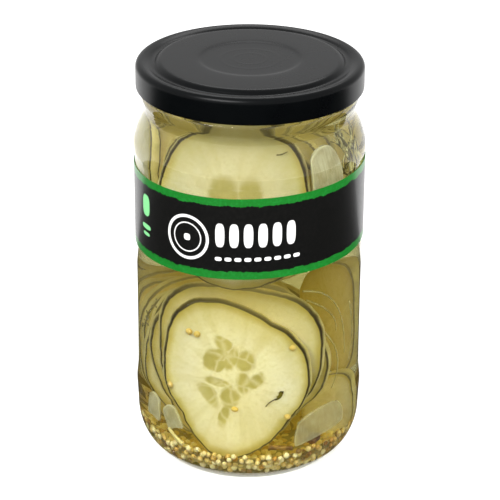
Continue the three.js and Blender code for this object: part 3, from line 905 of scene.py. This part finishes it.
def onion_finish(name, alpha):
    """Glassy flesh. The lower the alpha, the more what lies behind shows through."""
    onion = Finish(name, Roughness=0.28, IOR=1.38, Alpha=alpha)
    place = onion.node("ShaderNodeUVMap", {"uv_map": "UVMap"})
    stretched = onion.node("ShaderNodeMapping", {}, {"Vector": place, "Scale": (26, 2.2, 1)})
    veins = onion.noise(1, 2, stretched)
    broad = onion.noise(260, 2)
    body = onion.blend(veins.fade(0.4, 0.7), paint(184, 177, 140), paint(204, 198, 164))
    body = onion.blend(broad.fade(0.4, 0.75) * 0.6, body, paint(160, 150, 104))
    across = abs(onion.coordinate("X", place) - 0.5)
    along = abs(onion.coordinate("Y", place) - 0.5)
    rim = across.either(along).fade(0.44, 0.5)
    onion.surface(Base_Color=onion.blend(rim, body, paint(212, 206, 170)))
    onion.soft(0.5, (1.0, 0.9, 0.6), 2)
    onion.bump(veins + broad * 0.4, 0.25, 0.5)
    return onion


left_onion = onion_finish("onion_pale", 0.8)
right_onion = onion_finish("onion_glassy", 0.34)
for name, size in ONIONS.items():
    onion = make_onion(name, **size)
    (right_onion if name == "onion_right" else left_onion).on(onion)
    hand_over(onion, "onion", name)

# Dill
# A sprig of pickling dill is pressed against the wall at the upper right: a ribbed stem with
# branches that end in tufts of thread-like leaves. Brine has turned it from green to olive.

DILL_WALL = BODY_RADIUS - WALL - 2.6
# The stem's places on the wall: degrees round the jar, height, how far in.
DILL_STEM = [(71, 106, 1.4), (67, 120, 1), (63, 135, 3)]
DILL_LEAN = 0.28
DILL_TOP = 137
DILL_BRANCHES = 8
DILL_BRANCH_STEP = 3
DILL_LEAVES = 9
DILL_BROWNED = 0.25


def on_wall(azimuth, z, inward):
    r = DILL_WALL - inward
    return Vector((r * math.sin(math.radians(azimuth)), -r * math.cos(math.radians(azimuth)), z))


def thread(points, thick, thin, sides, steps):
    """A tapering stalk: a ring of corners extruded from end to end of a smooth line by three points."""
    a, b, c = [Vector(p) for p in points]

    def along(t):
        return a * (1 - t) * (1 - t) + (b * 2 - (a + c) * 0.5) * 2 * t * (1 - t) + c * t * t

    def towards(t):
        return (along(min(1, t + 0.05)) - along(max(0, t - 0.05))).normalized()

    clear_selection()
    bpy.ops.mesh.primitive_circle_add(vertices=sides, radius=MM, fill_type="NGON")
    piece = bpy.context.object
    bpy.ops.object.mode_set(mode="EDIT")
    bpy.ops.mesh.select_all(action="SELECT")
    for _ in range(steps):
        bpy.ops.mesh.extrude_region_move(TRANSFORM_OT_translate={"value": (0, 0, MM)})
    leave_editing()
    for vertex in piece.data.vertices:
        x, y, z = vertex.co / MM
        t = z / steps
        heading = towards(t)
        side = heading.cross(Vector((0.3, 0.2, 1))).normalized()
        other = heading.cross(side)
        size = thick + (thin - thick) * t
        vertex.co = (along(t) + (side * x + other * y) * size) * MM
    return piece


def make_dill():
    draw = spread_of(23)
    stem = [on_wall(*place) for place in DILL_STEM]
    threads = [thread(stem, 0.95, 0.7, 8, 14)]
    foot_azimuth, foot_height, _ = DILL_STEM[0]
    for i in range(DILL_BRANCHES):
        side = 1 if i % 2 == 0 else -1
        root = foot_height + DILL_BRANCH_STEP * (i + 1)
        azimuth = foot_azimuth - DILL_LEAN * (root - foot_height)
        spread = side * (7 + 5 * next(draw))
        rise = 6 + 3 * next(draw)
        middle = on_wall(azimuth + spread * 0.5, root + rise * 0.5, 0.9)
        tip = on_wall(azimuth + spread, min(root + rise, DILL_TOP), 0.6 + i * 0.3)
        branch = [on_wall(azimuth, root, 1.2), middle, tip]
        threads.append(thread(branch, 0.55, 0.3, 5, 6))
        for j in range(DILL_LEAVES):
            foot = middle.lerp(tip, 0.15 + 0.1 * j)
            way = Vector((next(draw) - 0.5, next(draw) - 0.5, 0.2 + 0.8 * next(draw)))
            way *= 5 + 3 * next(draw)
            end = held_inside(foot + way, 0.8)
            bend = held_inside(foot + way * 0.5 + Vector((0, 0, 1.2 * next(draw) - 0.6)), 0.8)
            threads.append(thread([foot, bend, end], 0.34, 0.14, 4, 4))
    for strand in threads[1:]:
        browned = 1 if next(draw) < DILL_BROWNED else 0
        mark(strand, "browned", [browned] * len(strand.data.vertices))
    whole = join(threads, "dill_sprig_leafy")
    for vertex in whole.data.vertices:
        vertex.co = held_inside(vertex.co / MM, 0.5) * MM
    smooth(whole, 60)
    return whole


def dill_finish(name, dark, light, alpha=1.0):
    """A soft ribbed skin mottled in two colours. Browned threads have the dark one alone."""
    dill = Finish(name, Roughness=0.45, Alpha=alpha)
    mottle = dill.noise(420, 3)
    ribs = dill.noise(1300, 1)
    lighter = mottle.fade(0.35, 0.65) * (1 - dill.attribute("browned"))
    dill.surface(Base_Color=dill.blend(lighter, dark, light))
    dill.surface(Roughness=0.35 + mottle * 0.25)
    dill.soft(0.15, (0.8, 0.8, 0.3), 1)
    dill.bump(ribs + mottle, 0.12, 0.6)
    return dill


dill = make_dill()
dill_finish("dill", paint(98, 90, 40), paint(232, 224, 164)).on(dill)
hand_over(dill, "dill", "dill_sprig")

# Stalks, twig and spice
# A pale dill stalk lies by the left-hand onion, a brown twig leans on the seeds in front, and a
# knobbly piece of brown spice sits to the right. All are soaked soft and have a ribbed skin.

LEFT_STALK = [(-28.6, -25.8, 19.2), (-26.2, -28, 16.6), (-23.8, -29.4, 14.6)]
FRONT_TWIG = [(7.4, -34.6, 16.6), (11.6, -33.6, 15.8), (15.6, -31.9, 14.8)]
SPICE_AT = (22.9, -25.8, 15.9)
SPICE_RADIUS = 2.4


def make_stalk(name, points, thick, thin):
    stalk = thread(points, thick, thin, 10, 12)
    stalk.name = name
    smooth(stalk, 60)
    return stalk


stalk = make_stalk("stalk_left_pale", LEFT_STALK, 0.9, 0.8)
dill_finish("pale_stalk", paint(196, 180, 112), paint(222, 208, 144)).on(stalk)
hand_over(stalk, "dill", "stalk_left")

twig = make_stalk("stalk_front_twig", FRONT_TWIG, 1.1, 1.0)
dill_finish("brown_twig", paint(104, 72, 24), paint(150, 116, 48)).on(twig)
hand_over(twig, "spice", "stalk_front")


def make_spice():
    clear_selection()
    bpy.ops.mesh.primitive_ico_sphere_add(subdivisions=4, radius=SPICE_RADIUS * MM)
    piece = bpy.context.object
    piece.name = "spice_piece_brown"
    for vertex in piece.data.vertices:
        x, y, z = vertex.co / MM
        dent = 1 - 0.1 * math.cos(2.2 * x + 1) * math.cos(1.7 * z)
        dent += 0.08 * noise.noise(Vector((x, y, z)) * 1.1)
        vertex.co = Vector((x * dent * 1.25, y * dent * 0.8, z * dent)) * MM
    stand = Matrix.Translation(Vector(SPICE_AT) * MM) @ Matrix.Rotation(math.radians(40), 4, "Z")
    piece.data.transform(stand)
    smooth(piece, 60)
    return piece


spice = make_spice()
dill_finish("brown_spice", paint(92, 58, 26), paint(140, 98, 50)).on(spice)
hand_over(spice, "spice", "spice_piece")

# Flecks, pulp and bubbles
# A scrap of dill leaf on its stem has settled on the lower front slice and a shorter one on the
# upper. A few air bubbles cling to the rims of the slices on the left, and strings of soft pulp
# hang in the brine on the right.

LEAF_DEPTH = -31.5
LEAF_FLATNESS = 0.25
LEAF_STEM = [(6.1, -31.0, 32.4), (7.6, -31.2, 34.4), (9.8, -31.4, 35.8)]
LEAF_BLADE = [(9.2, -31.4, 35.5), (11, -31.5, 36.6), (11.6, -31.5, 39)]
LEAF_LOBE = [(10.2, -31.5, 36.2), (10.9, -31.5, 37.4), (10.6, -31.5, 38.6)]
UPPER_FLECK = [(9.1, -31.9, 133.2), (10.9, -32.2, 133.6), (12.9, -32.5, 134.8)]
BUBBLE_LINE = [(-36.6, -8.4, 52.8), (-34.9, -14.6, 61.5), (-32.2, -20.0, 70.6)]
BUBBLE_COUNT = 26
AIR_IN_BRINE_IOR = 0.75
STRANDS = [
    [(18.4, -28.6, 79.2), (29.5, -18.5, 69), (32.6, -13.8, 46.1)],
    [(24.8, -21.9, 60), (30, -15.9, 46), (28.2, -18.2, 33.3)],
    [(18.9, -23.3, 73.6), (26.6, -16.5, 65.1), (28.6, -13.9, 56.2)],
    [(34.7, -14, 67.8), (35.9, -10.8, 53.4), (34.9, -13.5, 42)],
]


def make_flecks():
    blade = thread(LEAF_BLADE, 0.35, 0.75, 8, 6)
    lobe = thread(LEAF_LOBE, 0.8, 0.15, 8, 6)
    for part in (blade, lobe):
        for vertex in part.data.vertices:
            depth = vertex.co.y / MM - LEAF_DEPTH
            vertex.co.y = (LEAF_DEPTH + 0.1 + LEAF_FLATNESS * depth) * MM
    stem = thread(LEAF_STEM, 0.22, 0.16, 6, 6)
    flecks = join([stem, blade, lobe, thread(UPPER_FLECK, 0.3, 0.2, 6, 6)], "dill_flecks")
    smooth(flecks, 60)
    return flecks


def make_bubbles():
    draw = random.Random(4)
    clear_selection()
    bpy.ops.mesh.primitive_ico_sphere_add(subdivisions=3, radius=MM)
    pattern = bpy.context.object
    low, middle, high = [Vector(p) for p in BUBBLE_LINE]
    bubbles = []
    for _ in range(BUBBLE_COUNT):
        t = draw.random()
        spot = low * (1 - t) ** 2 + middle * 2 * t * (1 - t) + high * t * t
        spot += Vector((draw.uniform(-1, 1), draw.uniform(-1, 1), draw.uniform(-1.5, 1.5)))
        bubble = copy_of(pattern)
        place = Matrix.Translation(held_inside(spot, 0.9) * MM)
        bubble.data.transform(place @ Matrix.Scale(draw.uniform(0.3, 0.7), 4))
        bubbles.append(bubble)
    bpy.data.objects.remove(pattern)
    whole = join(bubbles, "air_bubbles")
    smooth(whole, 60)
    return whole


flecks = make_flecks()
dill_finish("dark_fleck", paint(52, 42, 8), paint(118, 108, 30)).on(flecks)
hand_over(flecks, "dill")

strands = join([thread(line, 0.42, 0.2, 6, 12) for line in STRANDS], "pulp_strands")
smooth(strands, 60)
dill_finish("pale_pulp", paint(186, 176, 116), paint(222, 214, 160), 0.5).on(strands)
hand_over(strands, "cucumber")

bubbles = make_bubbles()
air = Finish("air", Transmission_Weight=1.0, Roughness=0.0, IOR=AIR_IN_BRINE_IOR)
air.bump(air.noise(900, 1), 0.01, 0.2)
air.on(bubbles)
hand_over(bubbles, "brine")

# Lid
# A twist-off lid drawn from thin tinplate and lacquered black: a raised panel with a shallow safety
# button and faint rings, a groove round it, a rounded shoulder, and a skirt whose edge is curled in.

LID_RADIUS = 42.05
LID_BOTTOM = 148.1
LID_TOP = 158.1
LID_METAL = 0.6
LID_CORNER = 2.2
LID_PANEL_RADIUS = 32.8
LID_PANEL_HEIGHT = 158.6
BUTTON_RADIUS = 18
PANEL_RINGS = (6, 10.8, 18.6)


def make_lid():
    panel = [
        (0, LID_PANEL_HEIGHT - 0.35),
        (BUTTON_RADIUS - 0.6, LID_PANEL_HEIGHT - 0.35),
        (BUTTON_RADIUS + 0.6, LID_PANEL_HEIGHT - 0.2),
        (BUTTON_RADIUS + 1.6, LID_PANEL_HEIGHT),
        (LID_PANEL_RADIUS - 1, LID_PANEL_HEIGHT),
        (LID_PANEL_RADIUS + 0.2, LID_PANEL_HEIGHT - 0.04),
        (LID_PANEL_RADIUS + 1.4, LID_PANEL_HEIGHT - 0.65),
        (LID_PANEL_RADIUS + 2.3, LID_TOP - 1.2),
        (LID_PANEL_RADIUS + 3.8, LID_TOP - 1.2),
        (LID_PANEL_RADIUS + 5, LID_TOP - 0.5),
        (LID_RADIUS - LID_CORNER - 0.5, LID_TOP),
    ]
    skirt = arc(LID_RADIUS - LID_CORNER, LID_TOP - LID_CORNER, LID_CORNER, 85, 0, 8)
    curl = arc(LID_RADIUS - 0.85, LID_BOTTOM + 0.85, 0.85, 0, -180, 8)
    inside = [
        (LID_RADIUS - 1.7, LID_BOTTOM + 1.6),
        (LID_RADIUS - LID_METAL, LID_BOTTOM + 2.2),
        (LID_RADIUS - LID_METAL, LID_TOP - LID_CORNER),
        (LID_RADIUS - LID_CORNER, LID_TOP - LID_METAL - 0.15),
        (LID_PANEL_RADIUS + 4, LID_TOP - 1.1 - LID_METAL),
        (LID_PANEL_RADIUS + 2.4, LID_TOP - 1.2 - LID_METAL),
        (LID_PANEL_RADIUS, LID_PANEL_HEIGHT - LID_METAL - 0.4),
        (0, LID_PANEL_HEIGHT - LID_METAL - 0.5),
    ]
    outside = softened(panel + skirt + [(LID_RADIUS, LID_BOTTOM + 3)] + curl)
    lid = spun("lid_black", outside + inside)
    smooth(lid, 40)
    return lid


def lacquer_finish():
    lacquer = Finish("black_lacquer", IOR=1.45, Specular_IOR_Level=0.18)
    grain = lacquer.noise(2600, 2)
    broad = lacquer.noise(40, 3)
    relief = grain * 0.02
    for radius in PANEL_RINGS:
        relief = relief + abs(lacquer.out_from_axis() - radius * MM).fade(1.2 * MM, 0) * 0.08
    lacquer.surface(Base_Color=lacquer.blend(broad.fade(0.3, 0.7), paint(1, 2, 3), paint(3, 5, 6)))
    lacquer.surface(Roughness=0.22 + broad * 0.12)
    lacquer.bump(relief, 0.5, 0.5)
    return lacquer


lid = make_lid()
lacquer_finish().on(lid)
hand_over(lid, "lid_enamel", "lid")

# Label
# A printed paper band wrapped round the panel and glued at the back, sitting a little askew. The
# print is a dark field with ragged green edges, white rings, bars and dashes, and green spots.

LABEL_BOTTOM = 89.4
LABEL_TOP = 120.9
LABEL_GAP = 0.3
LABEL_THICKNESS = 0.2
LABEL_SLOPE = 0.032
LABEL_RADIUS = BODY_RADIUS + LABEL_GAP + LABEL_THICKNESS
ROUNDEL = (-23.5, 104.2)
# Rows of shapes: first place, step, how many, height, half width, half height.
BARS = (-10.6, 5.2, 6, 106.6, 1.7, 4.6)
DASHES = (-11.2, 3.6, 9, 97.3, 1.25, 0.75)
SPOTS_AT = -46
# Spots: height, half width, half height.
SPOTS = [(110, 2.6, 4.2), (101.5, 3.2, 1.0), (98.6, 2.4, 0.7)]


def make_label():
    inner = BODY_RADIUS + LABEL_GAP
    outside = [(LABEL_RADIUS, LABEL_BOTTOM), (LABEL_RADIUS, LABEL_TOP)]
    inside = [(inner, LABEL_TOP), (inner, LABEL_BOTTOM)]
    label = spun("label_printed", inside[1:] + outside + inside)
    for vertex in label.data.vertices:
        vertex.co.z += LABEL_SLOPE * vertex.co.x
    smooth(label, 40)
    return label


def label_finish():
    label = Finish("label_print", IOR=1.45, Specular_IOR_Level=0.4)
    x = label.coordinate("X")
    across = x.maths("ARCTAN2", x, 0 - label.coordinate("Y")) * LABEL_RADIUS
    up = (label.coordinate("Z") - x * LABEL_SLOPE) / MM
    torn = label.noise(700, 3) * 1.6 + label.noise(220, 2) * 1.6
    edge = abs(up - (LABEL_BOTTOM + LABEL_TOP) / 2)
    border = (edge + torn - 1.6).fade(12.75, 12.95)

    def lozenge(at, height, wide, tall):
        a = abs(across - at) / wide
        b = abs(up - height) / tall
        return ((a ** 3 + b ** 3) ** 0.333).fade(1.04, 0.96)

    def ring(at, height, radius, line):
        a = across - at
        b = up - height
        return abs((a * a + b * b) ** 0.5 - radius).fade(line + 0.12, line - 0.12)

    white = ring(*ROUNDEL, 8.2, 0.55).either(ring(*ROUNDEL, 5.6, 0.22)).either(lozenge(*ROUNDEL, 1.3, 1.3))
    for first, step, count, *shape in (BARS, DASHES):
        for i in range(count):
            white = white.either(lozenge(first + step * i, *shape))
    spots = lozenge(SPOTS_AT, *SPOTS[0])
    for shape in SPOTS[1:]:
        spots = spots.either(lozenge(SPOTS_AT, *shape))
    dust = label.noise(900, 2)
    dark = label.blend(dust.fade(0.4, 0.8), paint(9, 9, 8), paint(17, 16, 14))
    colour = label.blend(spots, dark, paint(128, 214, 140))
    colour = label.blend(white, colour, paint(240, 240, 238))
    green = label.blend(dust.fade(0.4, 0.8), paint(0, 112, 22), paint(8, 128, 38))
    colour = label.blend(border, colour, green)
    label.surface(Base_Color=colour, Roughness=0.32 + dust * 0.1)
    label.surface(Coat_Weight=0.3, Coat_Roughness=0.15)
    label.bump(dust, 0.05, 0.4)
    return label


label = make_label()
label_finish().on(label)
hand_over(label, "label_print", "label")

# Floor, light and camera
# The jar stands on a plain white floor under soft light from the upper left, the upper right and
# behind. Two dark cards on the floor, which the camera doesn't see, give the clear glass its dark
# edges. The camera looks down from about 25 degrees.

CAMERA_BACK = 710.96
CAMERA_HEIGHT = 409.3
CAMERA_PITCH = 24.766
CAMERA_ROLL = 0.33
FOCAL_PIXELS = 2055.8
FRAME_PIXELS = 500
AXIS_PIXELS = 0.957
FLOOR_GLOW = 0.35
ROOM_LIGHT = 0.75

clear_selection()
bpy.ops.mesh.primitive_plane_add(size=6)
floor = bpy.context.object
floor.name = "floor"
white = Finish("floor_white", Roughness=0.7, Specular_IOR_Level=0.1)
white.surface(Base_Color=white.blend(white.noise(30, 2), paint(236, 236, 236), paint(242, 242, 242)))
white.surface(Emission_Color=(1, 1, 1, 1), Emission_Strength=FLOOR_GLOW)
white.on(floor)

CARD_HOLE = 38
CARD_REACH = 1100
CARD_BACK = 160
CARD_HEIGHT = 1.5
NEAR_CARD_AT = (0, -600, 1)
NEAR_CARD_SIZE = (900, 1100, 1)

clear_selection()
bpy.ops.mesh.primitive_circle_add(vertices=64, radius=CARD_HOLE * MM, location=(0, 0, CARD_HEIGHT * MM))
card = bpy.context.object
card.name = "dark_card_round"
bpy.ops.object.mode_set(mode="EDIT")
bpy.ops.mesh.select_all(action="SELECT")
bpy.ops.mesh.extrude_edges_move()
bpy.ops.transform.resize(value=(CARD_REACH / CARD_HOLE, CARD_REACH / CARD_HOLE, 1))
bpy.ops.mesh.select_all(action="SELECT")
bpy.ops.mesh.bisect(plane_co=(0, CARD_BACK * MM, 0), plane_no=(0, 1, 0), clear_outer=True)
bpy.ops.object.mode_set(mode="OBJECT")
clear_selection()
bpy.ops.mesh.primitive_plane_add(size=MM, location=Vector(NEAR_CARD_AT) * MM)
near_card = bpy.context.object
near_card.name = "dark_card_near"
near_card.scale = NEAR_CARD_SIZE
black = Finish("card_black", Roughness=0.9, Base_Color=paint(8, 8, 8))
black.clear_where(black.node("ShaderNodeLightPath", output="Diffuse Depth").fade(0.2, 0.8), (1, 1, 1, 1))
for dark in (card, near_card):
    black.on(dark)
    dark.visible_camera = False
    dark.visible_diffuse = False
    dark.visible_shadow = False
card.visible_transmission = False

world = bpy.data.worlds.new("soft_room")
bpy.context.scene.world = world
world.use_nodes = True
world.node_tree.nodes["Background"].inputs["Color"].default_value = (1, 1, 1, 1)
world.node_tree.nodes["Background"].inputs["Strength"].default_value = ROOM_LIGHT


def softbox(name, at, aim, size, power):
    lamp = bpy.data.lights.new(name, "AREA")
    lamp.shape = "RECTANGLE"
    lamp.size, lamp.size_y = size
    lamp.energy = power
    holder = bpy.data.objects.new(name, lamp)
    bpy.context.scene.collection.objects.link(holder)
    holder.location = at
    holder.rotation_euler = (Vector(aim) - Vector(at)).to_track_quat("-Z", "Y").to_euler()
    return holder


softbox("key", (-0.55, -0.85, 1.0), (0, 0, 0.07), (0.7, 0.5), 13)
softbox("fill", (0.8, -0.6, 0.8), (0, 0, 0.07), (0.6, 0.6), 7).visible_glossy = False
softbox("back", (0.1, 1.0, 1.3), (0, 0, 0.09), (1.0, 0.5), 6)

lens = bpy.data.cameras.new("camera")
lens.sensor_width = 36
lens.lens = lens.sensor_width * FOCAL_PIXELS / FRAME_PIXELS
lens.shift_x = AXIS_PIXELS / FRAME_PIXELS
camera = bpy.data.objects.new("camera", lens)
bpy.context.scene.collection.objects.link(camera)
camera.location = (0, -CAMERA_BACK * MM, CAMERA_HEIGHT * MM)
pitch = Matrix.Rotation(math.radians(90 - CAMERA_PITCH), 4, "X")
roll = Matrix.Rotation(math.radians(CAMERA_ROLL), 4, "Z")
camera.rotation_euler = (pitch @ roll).to_euler()
bpy.context.scene.camera = camera
bpy.context.scene.view_settings.view_transform = "Standard"
